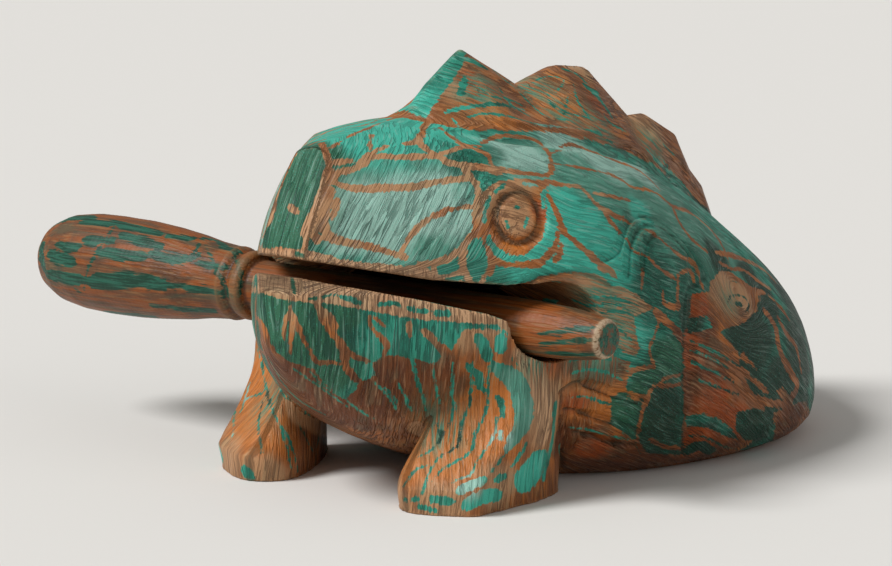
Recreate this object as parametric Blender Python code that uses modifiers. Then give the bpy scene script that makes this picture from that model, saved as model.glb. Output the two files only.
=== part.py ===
"""Frog guiro: a frog carved from one block of wood, and the turned striker kept in its mouth.

The frog is modelled the way a carver makes it. A block is brought to the shape of the head,
the back and the belly. The crest and the front legs stand out of it. The mouth is then sawn,
a round bore is drilled through both cheeks behind it, and the body is hollowed from there.
Last come the knife cuts: the eyes, the thigh, the toes and the crease of the haunch.

Frame: metres, +Z up. The frog looks along -Y and its left side is +X. The origin is on the
ground, under the middle of the back. All the sizes below are in millimetres.
"""
import math
from collections import namedtuple

import bmesh
import bpy
from mathutils import Matrix, Vector
from mathutils.bvhtree import BVHTree

MM = 0.001
OUTSIDE = 100.0

# Driving dimensions of the frog.
MOUTH_HEIGHT = 44.0
LOWER_JAW_TOP = 40.0
BORE_Y = -20.0
BORE_HEIGHT = 32.4
BORE_RADIUS = 6.9
SLOT_FRONT_Y = -64.0
SLOT_HALF_WIDTH = 70.0
SEAT_CLEARANCE = 0.6
HOLLOW_CENTRE = (0.0, 4.0, 30.0)
HOLLOW_HALF = (27.0, 25.0, 17.0)
SEAT_GAP = 0.3

# Driving dimensions of the striker.
STRIKER_HEIGHT = 30.75
SHAFT_RADIUS = 4.95
TIP_END_X = 46.5
COLLAR_X = -35.0
COLLAR_RADIUS = 7.0
HANDLE_END_X = -91.0
TURNING_STEPS = 32

# A section of the body: where it stands, how far it leans back per unit of height above the
# mouth, how far the lower jaw juts forward of it, and its outline from the keel up to the
# crown as (half width, height).
Section = namedtuple("Section", "y lean jut outline")

BODY_SECTIONS = (
    Section(-53.6, 0.52, 0.0, ((0, 27), (3, 28), (4.6, 35), (4.8, 45), (5.4, 54), (3.8, 61.6), (0, 63.2))),
    Section(-46.0, 0.42, 1.2, (
        (0, 17), (8.5, 19), (13.6, 30), (11.4, 43),
        (10.4, 54), (7.4, 61.6), (0, 64.6),
    )),
    Section(-32.5, 0.25, 1.0, (
        (0, 8.5), (15, 12), (27.5, 27), (24.2, 42),
        (21.6, 53), (14.8, 61.8), (0, 66.3),
    )),
    Section(-17.0, 0.08, 0.0, ((0, 1.5), (22, 5), (40, 23), (39.4, 38), (34, 51), (25, 61.2), (0, 67.3))),
    Section(0.0, 0.0, 0.0, ((0, -2), (29, -2.5), (40.5, 12), (43, 32), (38.5, 48), (26, 60), (0, 66.5))),
    Section(20.0, 0.0, 0.0, ((0, -2), (40, -2), (44.5, 10), (43, 26), (35, 43), (23, 57), (0, 64))),
    Section(42.0, 0.0, 0.0, (
        (0, -2), (43, -2), (45.5, 10), (41.4, 25),
        (30.8, 37.2), (17.5, 47.2), (0, 55),
    )),
    Section(60.0, 0.0, 0.0, (
        (0, -2), (35.5, -2), (36.6, 9), (33.4, 21.4),
        (25.2, 31.2), (12, 36.8), (0, 43),
    )),
    Section(72.0, 0.0, 0.0, ((0, -2), (22, -1), (25.4, 8), (22.8, 17.4), (17, 25), (9, 29.8), (0, 33.5))),
    Section(79.0, 0.0, 0.0, ((0, 2), (11, 3), (13, 8), (12, 14), (9, 19), (5, 22.5), (0, 24))),
)
HEAD_SECTIONS = 4
RIDGE_POINT = 5
RIDGE_CREASE = 0.45
SNOUT_CREASE = 0.9

# A station of the crest, from its top in the middle of the back down to its foot. The foot
# stands further forward than the top, because the notches between the spines slant.
Station = namedtuple("Station", "top edge slope foot")

CREST = (
    Station((-18.0, 66.8), (1.0, -17.9, 66.7), (3.5, -17.5, 66.0), (6.0, -17.0, 65.0)),
    Station((-12.2, 71.6), (1.8, -12.0, 70.6), (4.9, -11.8, 67.4), (8.6, -11.4, 64.2)),
    Station((-4.4, 76.4), (0.8, -4.4, 76.0), (4.9, -4.5, 71.6), (12.6, -6.4, 64.0)),
    Station((12.2, 68.0), (2.5, 11.6, 67.4), (8.5, 8.6, 64.7), (16.0, 5.5, 61.4)),
    Station((23.6, 71.0), (2.0, 23.0, 70.5), (7.5, 20.0, 66.6), (15.5, 16.5, 59.2)),
    Station((31.6, 69.9), (2.0, 31.0, 69.4), (7.5, 28.0, 64.4), (13.5, 26.0, 57.0)),
    Station((44.6, 59.4), (2.5, 43.8, 58.8), (7.0, 40.0, 56.2), (12.0, 35.0, 54.2)),
    Station((50.6, 59.2), (2.0, 50.0, 58.7), (6.0, 47.4, 55.8), (11.0, 43.0, 51.0)),
    Station((59.6, 54.8), (1.8, 59.0, 54.3), (5.5, 56.4, 51.0), (9.5, 52.0, 46.4)),
    Station((64.4, 47.6), (1.8, 63.8, 47.0), (5.0, 61.0, 44.6), (8.5, 57.0, 42.2)),
    Station((69.2, 43.6), (1.4, 68.6, 43.1), (4.0, 66.2, 41.0), (7.0, 62.0, 38.2)),
    Station((73.0, 37.0), (1.0, 72.6, 36.6), (3.0, 70.5, 35.2), (5.0, 68.0, 33.5)),
)
CREST_ROOT = 9.0

# The shallow hollow along the foot of the crest, as (x, y) seen from above.
CREST_BANK = (
    (10, -22), (15.5, -12), (18.5, 1), (19, 15), (17.5, 29), (14.5, 42), (11, 54), (9.5, 64), (10, 74),
)
BANK_RADIUS = 8.0
BANK_LIFT = 6.6
BANK_ENDS = 0.7

# A ring of the front leg: its height and its outline seen from above, as (x, y), from the
# inner toe round the outer side and back. Above the foot the front draws back in a hollow
# sweep, up to the jaw.
Ring = namedtuple("Ring", "z outline")

SOLE = (
    (17.8, -42), (23.2, -41), (30.2, -36.2), (31.2, -20.5),
    (29.4, -8.6), (23.5, -13.5), (16.4, -25.5), (12, -36.6),
)
TOES = (
    (16.5, -42.6), (22.6, -41.2), (31.2, -36.8), (31.6, -20.5),
    (29.8, -8.4), (23.5, -13.5), (16, -25.5), (11.6, -37),
)
INSTEP = (
    (16.8, -39.3), (22.8, -36.4), (31.4, -32.4), (32.2, -19.6),
    (29.8, -8.6), (23.5, -14.5), (16.6, -25.8), (13.2, -33.8),
)
SHIN = (
    (17.8, -34), (23.4, -28.4), (31.8, -25.7), (33.6, -18.2),
    (29.4, -8.6), (22.5, -14), (16.5, -23), (15, -29.5),
)
KNEE = (
    (18.5, -33), (24, -27.6), (32.2, -25.2), (35, -17.2), (28.8, -9), (22, -15), (17, -24), (15.5, -29),
)
SHOULDER = (
    (18, -31), (23.5, -29), (30.4, -25.8), (33, -19), (27, -12), (20, -16), (15, -23), (14, -28),
)
FRONT_LEG = (
    Ring(-4.0, SOLE),
    Ring(0.5, SOLE),
    Ring(4.5, TOES),
    Ring(9.0, INSTEP),
    Ring(16.0, SHIN),
    Ring(23.0, KNEE),
    Ring(31.0, SHOULDER),
)
OUTER_RIMS = (2, 3)
TOE_EDGES = 4
RIM_CREASE = 0.6

# Each eye is a round disc left standing inside a ring groove.
EYE_Y = -22.3
EYE_HEIGHT = 50.4
EYE_RING_RADIUS = 4.5
EYE_GROOVE_RADIUS = 0.95

# Knife cuts on the side of the body, as (y, height) seen from the side, with the radius of
# the cut and how far its middle stands off the surface: the three arches of the folded thigh,
# the three toes and the shallow crease of the haunch.
Cut = namedtuple("Cut", "name radius lift path")

KNIFE_CUTS = (
    Cut("thigh_outer", 0.8, 0.0, (
        (-11, 42.5), (-6, 44.2), (-3.5, 46.7), (1, 48.6), (5.5, 48.3), (12.5, 44.5), (16, 40.5),
    )),
    Cut("thigh_middle", 0.8, 0.0, (
        (-6, 39), (-4, 43.2), (-1, 45.5), (3, 46.8), (6.5, 46.5), (11, 44.2), (14, 40.5),
    )),
    Cut("thigh_inner", 0.7, 0.0, ((-1.5, 39.5), (0.8, 43.3), (3.7, 44.8), (6.5, 44.4))),
    Cut("toe_upper", 0.8, 0.0, ((-14, 21), (-11, 19.8), (-7, 18.2), (-3, 17), (0, 15.5))),
    Cut("toe_middle", 0.8, 0.0, ((-12.5, 15), (-9.5, 14.2), (-6, 12.8), (-2, 11), (1.5, 9.2))),
    Cut("toe_lower", 0.8, 0.0, ((-9, 10), (-6, 9.2), (-2.5, 7.8), (1, 6))),
    Cut("haunch_crease", 2.6, 1.7, ((16.5, 39), (12.5, 33), (10, 27), (10, 18.5), (12, 11), (14.5, 4))),
)


def material(name, colour, roughness):
    """A Principled material of one plain colour."""
    made = bpy.data.materials.new(name)
    made.use_nodes = True
    shader = made.node_tree.nodes["Principled BSDF"]
    shader.inputs["Base Color"].default_value = (*colour, 1.0)
    shader.inputs["Roughness"].default_value = roughness
    shader.inputs["Metallic"].default_value = 0.0
    return made


def collection(name):
    """A new collection in the scene."""
    made = bpy.data.collections.new(name)
    bpy.context.scene.collection.children.link(made)
    return made


def new_object(name, bm, where):
    """Turn a bmesh into an object in the collection, with its faces turned outwards."""
    bmesh.ops.recalc_face_normals(bm, faces=bm.faces)
    mesh = bpy.data.meshes.new(name)
    bm.to_mesh(mesh)
    bm.free()
    made = bpy.data.objects.new(name, mesh)
    where.objects.link(made)
    return made


def as_guide(made):
    """Mark an object as a cutter or a guide, which isn't part of the model."""
    made.hide_render = True
    made.display_type = "WIRE"
    return made


def subdivide(made, levels):
    """Round a coarse cage off with Subdivision Surface."""
    smooth = made.modifiers.new("rounding", "SUBSURF")
    smooth.levels = levels
    smooth.render_levels = levels


def boolean(made, operation, others):
    """Join or cut with every object of a collection."""
    step = made.modifiers.new(operation.lower(), "BOOLEAN")
    step.operation = operation
    step.operand_type = "COLLECTION"
    step.collection = others
    step.solver = "EXACT"


def bridge(bm, rings, closed):
    """Lay faces between rows of points that have the same count."""
    count = len(rings[0])
    steps = count if closed else count - 1
    for near, far in zip(rings, rings[1:]):
        for i in range(steps):
            j = (i + 1) % count
            bm.faces.new((near[i], near[j], far[j], far[i]))


def flat_front(bm, ring):
    """Close the snout with faces from its rim straight across to its middle, so that it is flat."""
    middle = [bm.verts.new(Vector((0.0, point.co.y, point.co.z))) for point in ring[2:-2]]
    column = [ring[0], *middle, ring[-1]]
    rim = ring[1:-1]
    for i in range(len(rim) - 1):
        bm.faces.new((column[i], column[i + 1], rim[i + 1], rim[i]))


def keep_edges(bm, rings):
    """Crease the rim of the flat snout and the ridges between the head's side and its top."""
    crease = bm.edges.layers.float.new("crease_edge")
    snout = rings[0]
    for lower, upper in zip(snout, snout[1:]):
        bm.edges.get((lower, upper))[crease] = SNOUT_CREASE
    for near, far in zip(rings[:HEAD_SECTIONS], rings[1:HEAD_SECTIONS]):
        bm.edges.get((near[RIDGE_POINT], far[RIDGE_POINT]))[crease] = RIDGE_CREASE


def body_cage(where):
    """The block of the frog: half of it from its sections, mirrored and rounded off."""
    bm = bmesh.new()
    rings = []
    for section in BODY_SECTIONS:
        ring = []
        for x, z in section.outline:
            y = section.y + section.lean * max(z - MOUTH_HEIGHT, 0.0)
            if z < LOWER_JAW_TOP:
                y -= section.jut
            ring.append(bm.verts.new(Vector((x, y, z)) * MM))
        rings.append(ring)
    bridge(bm, rings, closed=False)
    flat_front(bm, rings[0])
    bm.faces.new(reversed(rings[-1]))
    keep_edges(bm, rings)
    made = new_object("frog_body", bm, where)
    halves = made.modifiers.new("two sides", "MIRROR")
    halves.use_clip = True
    halves.merge_threshold = 0.0001
    subdivide(made, 2)
    return made


def half_loft(name, rings, where):
    """A closed form from half rings that begin and end in the middle, mirrored to both sides."""
    bm = bmesh.new()
    rows = [[bm.verts.new(Vector(point) * MM) for point in ring] for ring in rings]
    bridge(bm, rows, closed=False)
    bm.faces.new(rows[0])
    bm.faces.new(reversed(rows[-1]))
    made = as_guide(new_object(name, bm, where))
    halves = made.modifiers.new("two sides", "MIRROR")
    halves.use_clip = True
    halves.merge_threshold = 0.0001


def crest(where):
    """The crest: a ridge along the back with slanting notches, rooted in the body."""
    rings = []
    for station in CREST:
        y, z = station.top
        x_foot, y_foot, z_foot = station.foot
        rings.append((
            (0.0, y, z),
            station.edge,
            station.slope,
            station.foot,
            (0.6 * x_foot, y_foot, z_foot - CREST_ROOT),
            (0.0, y, z_foot - CREST_ROOT),
        ))
    half_loft("crest", rings, where)


def front_leg(side, where):
    """A front leg: a loft of rings from the flat foot up to the jaw, with its rim kept crisp."""
    bm = bmesh.new()
    rows = []
    for ring in FRONT_LEG:
        rows.append([bm.verts.new(Vector((side * x, y, ring.z)) * MM) for x, y in ring.outline])
    bridge(bm, rows, closed=True)
    bm.faces.new(rows[0])
    bm.faces.new(reversed(rows[-1]))
    crease = bm.edges.layers.float.new("crease_edge")
    for lower, upper in zip(rows, rows[1:]):
        for rim in OUTER_RIMS:
            bm.edges.get((lower[rim], upper[rim]))[crease] = RIM_CREASE
    foot = rows[2]
    for i in range(TOE_EDGES):
        bm.edges.get((foot[i], foot[i + 1]))[crease] = RIM_CREASE
    name = "left" if side > 0 else "right"
    made = as_guide(new_object(f"front_leg_{name}", bm, where))
    made.data.shade_smooth()
    subdivide(made, 2)


def prism(name, outline, half_width, where):
    """A cutter: an outline of (y, z) points drawn out to both sides."""
    bm = bmesh.new()
    sides = []
    for x in (-half_width, half_width):
        sides.append([bm.verts.new(Vector((x, y, z)) * MM) for y, z in outline])
    bridge(bm, sides, closed=True)
    bm.faces.new(sides[0])
    bm.faces.new(reversed(sides[1]))
    return as_guide(new_object(name, bm, where))


def mouth_slot(where):
    """The sawn mouth: it opens towards the bore and runs out at the lips."""
    outline = (
        (SLOT_FRONT_Y, 46.6),
        (-52.0, 44.1),
        (-36.0, 40.2),
        (-27.0, 39.0),
        (BORE_Y, BORE_HEIGHT + BORE_RADIUS - 0.2),
        (BORE_Y, BORE_HEIGHT),
        (-26.0, 32.6),
        (-30.0, 34.6),
        (-38.0, 37.1),
        (-53.8, 41.6),
        (SLOT_FRONT_Y, 44.2),
    )
    prism("mouth_slot", outline, SLOT_HALF_WIDTH, where)


def round_hole(name, radius, height, ends, where):
    """A cutter for a round hole that runs crosswise at the bore, between two places on X."""
    bm = bmesh.new()
    bmesh.ops.create_cone(
        bm,
        cap_ends=True,
        segments=40,
        radius1=radius * MM,
        radius2=radius * MM,
        depth=abs(ends[1] - ends[0]) * MM,
    )
    place = Matrix.Translation(Vector((0.5 * (ends[0] + ends[1]), BORE_Y, height)) * MM)
    bmesh.ops.transform(bm, matrix=place @ Matrix.Rotation(math.pi / 2.0, 4, "Y"), verts=bm.verts)
    as_guide(new_object(name, bm, where))


def resonating_hollow(where):
    """The hollow behind the bore, which makes the frog sound."""
    bm = bmesh.new()
    bmesh.ops.create_uvsphere(bm, u_segments=20, v_segments=14, radius=1.0)
    half = Vector(HOLLOW_HALF) * MM
    place = Matrix.Translation(Vector(HOLLOW_CENTRE) * MM) @ Matrix.Diagonal((*half, 1.0))
    bmesh.ops.transform(bm, matrix=place, verts=bm.verts)
    as_guide(new_object("resonating_hollow", bm, where))


def surface_of(frog):
    """The frog as it stands now, for finding where a cut meets its surface."""
    depsgraph = bpy.context.evaluated_depsgraph_get()
    return BVHTree.FromObject(frog, depsgraph)


def on_side(surface, side, y, z):
    """The point and the normal of the surface at a place seen from the left or right side."""
    start = Vector((side * OUTSIDE, y, z)) * MM
    point, normal, _, _ = surface.ray_cast(start, Vector((-side, 0.0, 0.0)))
    return point, normal


def eye_ring(surface, side, where):
    """A ring groove round the eye, square to the surface of the head."""
    centre, normal = on_side(surface, side, EYE_Y, EYE_HEIGHT)
    bpy.ops.mesh.primitive_torus_add(
        location=centre,
        rotation=normal.to_track_quat("Z", "Y").to_euler(),
        major_segments=28,
        minor_segments=8,
        major_radius=EYE_RING_RADIUS * MM,
        minor_radius=EYE_GROOVE_RADIUS * MM,
    )
    made = as_guide(bpy.context.active_object)
    made.name = f"eye_ring_{side}"
    for home in list(made.users_collection):
        home.objects.unlink(made)
    where.objects.link(made)


def bar(name, path, radius, roundness, where, ends=1.0):
    """A round bar bent along a path, made into a mesh so that it can cut."""
    curve = bpy.data.curves.new(name, "CURVE")
    curve.dimensions = "3D"
    curve.bevel_depth = radius * MM
    curve.bevel_resolution = roundness
    curve.resolution_u = 2
    curve.use_fill_caps = True
    spline = curve.splines.new("BEZIER")
    spline.bezier_points.add(len(path) - 1)
    for knot, place in zip(spline.bezier_points, path):
        knot.co = place
        knot.handle_left_type = "AUTO"
        knot.handle_right_type = "AUTO"
    spline.bezier_points[0].radius = ends
    spline.bezier_points[-1].radius = ends
    bent = bpy.data.objects.new(name, curve)
    where.objects.link(bent)
    depsgraph = bpy.context.evaluated_depsgraph_get()
    mesh = bpy.data.meshes.new_from_object(bent.evaluated_get(depsgraph))
    bpy.data.objects.remove(bent)
    bm = bmesh.new()
    bm.from_mesh(mesh)
    bmesh.ops.remove_doubles(bm, verts=bm.verts, dist=0.01 * MM)
    as_guide(new_object(name, bm, where))


def knife_cut(surface, cut, side, where):
    """A groove along the surface: a thin round bar laid on it, or a thicker one held off it."""
    path = []
    for y, z in cut.path:
        point, normal = on_side(surface, side, y, z)
        path.append(point + cut.lift * MM * normal)
    bar(f"{cut.name}_{side}", path, cut.radius, 1, where)


def crest_bank(surface, side, where):
    """The shallow hollow that runs along the foot of the crest on one side."""
    path = []
    for x, y in CREST_BANK:
        above = Vector((side * x, y, OUTSIDE)) * MM
        point, normal, _, _ = surface.ray_cast(above, Vector((0.0, 0.0, -1.0)))
        path.append(point + BANK_LIFT * MM * normal)
    bar(f"crest_bank_{side}", path, BANK_RADIUS, 3, where, BANK_ENDS)


def ground_plane(where):
    """What is sawn off so that the belly and the feet stand flat."""
    outline = ((-120.0, -40.0), (-120.0, 0.0), (140.0, 0.0), (140.0, -40.0))
    prism("ground_plane", outline, 90.0, where)


def striker(where):
    """The striker: a profile turned about its own axis, which lies along X."""
    tip = TIP_END_X
    collar = COLLAR_X
    end = HANDLE_END_X
    profile = [
        (tip, 0.0),
        (tip, 2.7),
        (tip - 0.8, 3.5),
        (tip - 4.5, 4.15),
        (tip - 9.0, 4.6),
        (tip - 17.0, SHAFT_RADIUS),
        (collar + 0.3, SHAFT_RADIUS),
        (collar, 6.1),
        (collar - 1.0, 6.6),
        (collar - 2.2, 6.5),
        (collar - 3.1, 5.9),
        (collar - 4.0, 6.6),
        (collar - 5.0, COLLAR_RADIUS),
        (collar - 6.4, 6.9),
        (-46.0, 7.3),
        (-51.0, 8.1),
        (-57.0, 8.8),
        (-64.0, 9.3),
        (-71.5, 9.5),
        (-78.0, 9.3),
        (-83.5, 8.5),
        (-87.3, 6.9),
        (-90.0, 4.4),
        (end, 1.8),
        (end - 0.2, 0.0),
    ]
    bm = bmesh.new()
    points = [bm.verts.new(Vector((r, 0.0, x)) * MM) for x, r in profile]
    for upper, lower in zip(points, points[1:]):
        bm.edges.new((upper, lower))
    mesh = bpy.data.meshes.new("striker")
    bm.to_mesh(mesh)
    bm.free()
    made = bpy.data.objects.new("striker", mesh)
    where.objects.link(made)
    turning = made.modifiers.new("turning", "SCREW")
    turning.axis = "Z"
    turning.angle = 2.0 * math.pi
    turning.steps = TURNING_STEPS
    turning.render_steps = TURNING_STEPS
    turning.use_merge_vertices = True
    turning.merge_threshold = 0.0001
    made.rotation_euler = (0.0, math.pi / 2.0, 0.0)
    made.location = Vector((0.0, BORE_Y, STRIKER_HEIGHT)) * MM
    return made


def main():
    for old in list(bpy.data.objects):
        bpy.data.objects.remove(old)
    parts = collection("frog_guiro")
    joined = collection("joined forms")
    cutters = collection("cutters")

    frog = body_cage(parts)
    frog.data.shade_smooth()
    crest(joined)
    for side in (1, -1):
        front_leg(side, joined)
    boolean(frog, "UNION", joined)

    mouth_slot(cutters)
    round_hole("cross_bore", BORE_RADIUS, BORE_HEIGHT, (-SLOT_HALF_WIDTH, SLOT_HALF_WIDTH), cutters)
    round_hole("collar_seat", COLLAR_RADIUS + SEAT_CLEARANCE, STRIKER_HEIGHT,
               (-SLOT_HALF_WIDTH, COLLAR_X + SEAT_GAP), cutters)
    resonating_hollow(cutters)
    ground_plane(cutters)
    surface = surface_of(frog)
    for side in (1, -1):
        crest_bank(surface, side, cutters)
        eye_ring(surface, side, cutters)
        for cut in KNIFE_CUTS:
            knife_cut(surface, cut, side, cutters)
    boolean(frog, "DIFFERENCE", cutters)
    frog.data.materials.append(material("painted wood", (0.06, 0.26, 0.21), 0.6))

    stick = striker(parts)
    stick.data.materials.append(material("stained wood", (0.36, 0.17, 0.09), 0.55))


main()
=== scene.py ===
# %% [markdown]
# # A carved frog guiro
#
# A frog guiro is a frog carved from one block of wood, with a turned wooden striker kept in its
# mouth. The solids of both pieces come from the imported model. This script gives them their fine
# surface: growth rings, the hand-painted net of teal cells, and the wear of handling.

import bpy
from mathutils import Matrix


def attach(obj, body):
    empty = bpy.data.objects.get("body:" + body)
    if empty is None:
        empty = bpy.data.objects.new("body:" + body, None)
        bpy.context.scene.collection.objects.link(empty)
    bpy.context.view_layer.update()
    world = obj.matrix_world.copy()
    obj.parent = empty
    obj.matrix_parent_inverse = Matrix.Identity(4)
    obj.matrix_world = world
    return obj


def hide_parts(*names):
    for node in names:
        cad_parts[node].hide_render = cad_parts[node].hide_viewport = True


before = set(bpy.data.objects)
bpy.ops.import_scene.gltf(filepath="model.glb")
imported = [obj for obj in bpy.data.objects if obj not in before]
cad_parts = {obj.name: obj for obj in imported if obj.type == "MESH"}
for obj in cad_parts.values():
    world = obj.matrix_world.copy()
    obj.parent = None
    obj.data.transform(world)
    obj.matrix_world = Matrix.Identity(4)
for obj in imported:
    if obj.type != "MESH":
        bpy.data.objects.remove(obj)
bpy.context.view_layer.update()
print("nodes:", sorted(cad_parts))

# %% Modules and units
import math

import bpy
import numpy as np
from mathutils import Vector, kdtree, noise
from mathutils.bvhtree import BVHTree

MM = 0.001
scene = bpy.context.scene

# %% [markdown]
# ## Helpers
#
# Colours are written as sRGB hex values, the way a paint chart gives them, and one function
# turns them to the linear values that the shader works in. One small function adds a node.


# %% Colours and nodes
def linear(code):
    """An sRGB hex colour as linear RGBA."""
    parts = [int(code[i:i + 2], 16) / 255.0 for i in (1, 3, 5)]
    return (*[c / 12.92 if c <= 0.04045 else ((c + 0.055) / 1.055) ** 2.4 for c in parts], 1.0)


def add(tree, kind, inputs=None, **settings):
    """Add a shader node, make its settings, and fill its sockets with values or links."""
    made = tree.nodes.new(kind)
    for name, value in settings.items():
        setattr(made, name, value)
    for socket, value in (inputs or {}).items():
        if isinstance(value, bpy.types.NodeSocket):
            tree.links.new(value, made.inputs[socket])
        else:
            made.inputs[socket].default_value = value
    return made


# %% [markdown]
# ## The camera
#
# The photograph looks at the frog from its front left, from a little above, with a long lens.
# The frame's sensor is 36 mm wide, so the lens follows from the width of the view.

# %% The camera
AZIMUTH = math.radians(40.0)
ELEVATION = math.radians(10.0)
CAMERA_PLACE = Vector((413.5, -501.1, 147.2)) * MM
LENS = 145.29
SENSOR = 36.0
PHOTO_WIDTH = 892
PHOTO_HEIGHT = 566

towards_camera = Vector((
    math.sin(AZIMUTH) * math.cos(ELEVATION),
    -math.cos(AZIMUTH) * math.cos(ELEVATION),
    math.sin(ELEVATION),
))
camera = bpy.data.objects.new("camera", bpy.data.cameras.new("camera"))
scene.collection.objects.link(camera)
camera.data.lens = LENS
camera.data.sensor_width = SENSOR
camera.data.clip_end = 20.0
camera.location = CAMERA_PLACE
camera.rotation_mode = "QUATERNION"
camera.rotation_quaternion = (-towards_camera).to_track_quat("-Z", "Y")
scene.camera = camera
print("camera distance from the origin:", round(CAMERA_PLACE.length, 3), "m")

# %% [markdown]
# ## The studio
#
# A plain pale floor, a broad soft key light from above the camera's left, a weak fill from the
# right, and an even pale world. Together they light a surface at about the level at which its
# colour renders as it is written.


# %% The floor, the lights and the world
def soft_light(name, direction, spread, strength):
    """A distant light with a wide disc, so that its shadows are soft and the floor is even."""
    data = bpy.data.lights.new(name, "SUN")
    data.angle = math.radians(spread)
    data.energy = strength
    lamp = bpy.data.objects.new(name, data)
    lamp.rotation_euler = (-Vector(direction)).to_track_quat("-Z", "Y").to_euler()
    scene.collection.objects.link(lamp)


bpy.ops.mesh.primitive_plane_add(size=12.0)
floor = bpy.context.active_object
floor.name = "studio_floor"
paper = bpy.data.materials.new("matt paper")
paper.use_nodes = True
paper_shader = paper.node_tree.nodes["Principled BSDF"]
paper_shader.inputs["Base Color"].default_value = linear("#DEDCD8")
paper_shader.inputs["Roughness"].default_value = 0.9
floor.data.materials.append(paper)

soft_light("key light", (-0.35, -0.62, 0.78), 24.0, 3.0)
soft_light("fill light", (0.9, -0.1, 0.45), 40.0, 0.35)
world = bpy.data.worlds.new("pale room")
world.use_nodes = True
world.node_tree.nodes["Background"].inputs["Color"].default_value = linear("#F5F3F0")
world.node_tree.nodes["Background"].inputs["Strength"].default_value = 0.33
scene.world = world
scene.view_settings.view_transform = "Standard"

# %% [markdown]
# ## The carved body
#
# The solid of the frog has its true form, but flat facets. A voxel remesh gives it an even skin
# of small faces, a few rounds of smoothing blend the facets, and then the skin can be moved
# point by point, as a carver's knife would.

# %% An even skin over a solid
BODY_VOXEL = 0.42 * MM
STRIKER_VOXEL = 0.36 * MM


def skin_of(node, name, voxel, rounds):
    """A remeshed and smoothed copy of a node's solid."""
    made = bpy.data.objects.new(name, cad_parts[node].data.copy())
    scene.collection.objects.link(made)
    made.data.materials.clear()
    remesh = made.modifiers.new("skin", "REMESH")
    remesh.mode = "VOXEL"
    remesh.voxel_size = voxel
    smooth = made.modifiers.new("smooth", "SMOOTH")
    smooth.factor = 0.5
    smooth.iterations = rounds
    mesh = bpy.data.meshes.new_from_object(made.evaluated_get(bpy.context.evaluated_depsgraph_get()))
    made.modifiers.clear()
    made.data = mesh
    mesh.shade_smooth()
    print(name, "has", len(mesh.vertices), "points")
    return made


frog = skin_of("frog_body", "carved_frog", BODY_VOXEL, 4)
striker = skin_of("striker", "turned_striker", STRIKER_VOXEL, 3)


# %% Points, normals and a field of values on a mesh
def points_of(piece):
    """The points of a mesh in millimetres, and their normals."""
    count = len(piece.data.vertices)
    places = np.empty(count * 3)
    piece.data.vertices.foreach_get("co", places)
    normals = np.empty(count * 3)
    piece.data.vertices.foreach_get("normal", normals)
    return places.reshape(-1, 3) / MM, normals.reshape(-1, 3)


def keep_field(piece, name, values):
    """Store a number or a place for each point, for the material to read."""
    kind = "FLOAT" if values.ndim == 1 else "FLOAT_VECTOR"
    field = piece.data.attributes.new(name, kind, "POINT")
    field.data.foreach_set("value" if values.ndim == 1 else "vector", values.astype(np.float32).ravel())


def neighbour_mean(piece, values, rounds):
    """Average places over neighbouring points, again and again."""
    ends = np.empty(len(piece.data.edges) * 2, np.int64)
    piece.data.edges.foreach_get("vertices", ends)
    a, b = ends[0::2], ends[1::2]
    size = len(values)
    count = np.bincount(ends, minlength=size)
    for _ in range(rounds):
        total = [np.bincount(a, column[b], size) + np.bincount(b, column[a], size) for column in values.T]
        values = 0.5 * values + 0.5 * np.stack(total, axis=1) / count[:, None]
    return values


def ramp(values, start, end):
    """Rise smoothly from 0 at start to 1 at end."""
    t = np.clip((values - start) / (end - start), 0.0, 1.0)
    return t * t * (3.0 - 2.0 * t)


def wavering(places, size, seed):
    """Smooth noise between about -1 and 1, with waves of the given size in millimetres."""
    shift = Vector((seed * 17.0, seed * 5.0, seed * 11.0))
    return np.array([noise.noise(Vector(place) + shift) for place in places / size])


# %% [markdown]
# ## From pixels to the skin
#
# The carver's cuts and the painter's strokes are written as a few pixels of the photograph. Each is
# drawn on the skin by looking through its pixels from the camera, and becomes a row of places close
# enough together to measure from. The side that the photograph doesn't show gets the same strokes
# mirrored.

# %% Looking through a pixel
FULL_TURN_AWAY = 0.2
STROKE_STEP = 1.2


def pixel_ray(u, v):
    """The direction from the camera through a pixel of the photograph."""
    scale = SENSOR / PHOTO_WIDTH / LENS
    local = Vector(((u - PHOTO_WIDTH / 2.0) * scale, (PHOTO_HEIGHT / 2.0 - v) * scale, -1.0))
    return camera.rotation_quaternion @ local.normalized()


def cast(skin, u, v):
    """The place on a skin seen at a pixel, in millimetres, or None."""
    hit = skin.ray_cast(CAMERA_PLACE, pixel_ray(u, v))[0]
    return None if hit is None else np.array(hit) / MM


def skin_tree(piece):
    """A search tree of a piece's faces."""
    return BVHTree.FromObject(piece, bpy.context.evaluated_depsgraph_get())


# %% Drawing strokes
def curve_through(points):
    """Pixels close together on a smooth curve through the given ones."""
    ends = (points[0], *points, points[-1])
    made = []
    for p0, p1, p2, p3 in zip(ends, ends[1:], ends[2:], ends[3:]):
        p0, p1, p2, p3 = (np.array(p, float) for p in (p0, p1, p2, p3))
        steps = max(2, int(np.linalg.norm(p2 - p1) / STROKE_STEP))
        for t in np.arange(steps) / steps:
            bend = (2 * p0 - 5 * p1 + 4 * p2 - p3) * t + (3 * p1 - p0 - 3 * p2 + p3) * t * t
            made.append(p1 + 0.5 * t * ((p2 - p0) + bend))
    made.append(np.array(points[-1], float))
    return made


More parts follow.
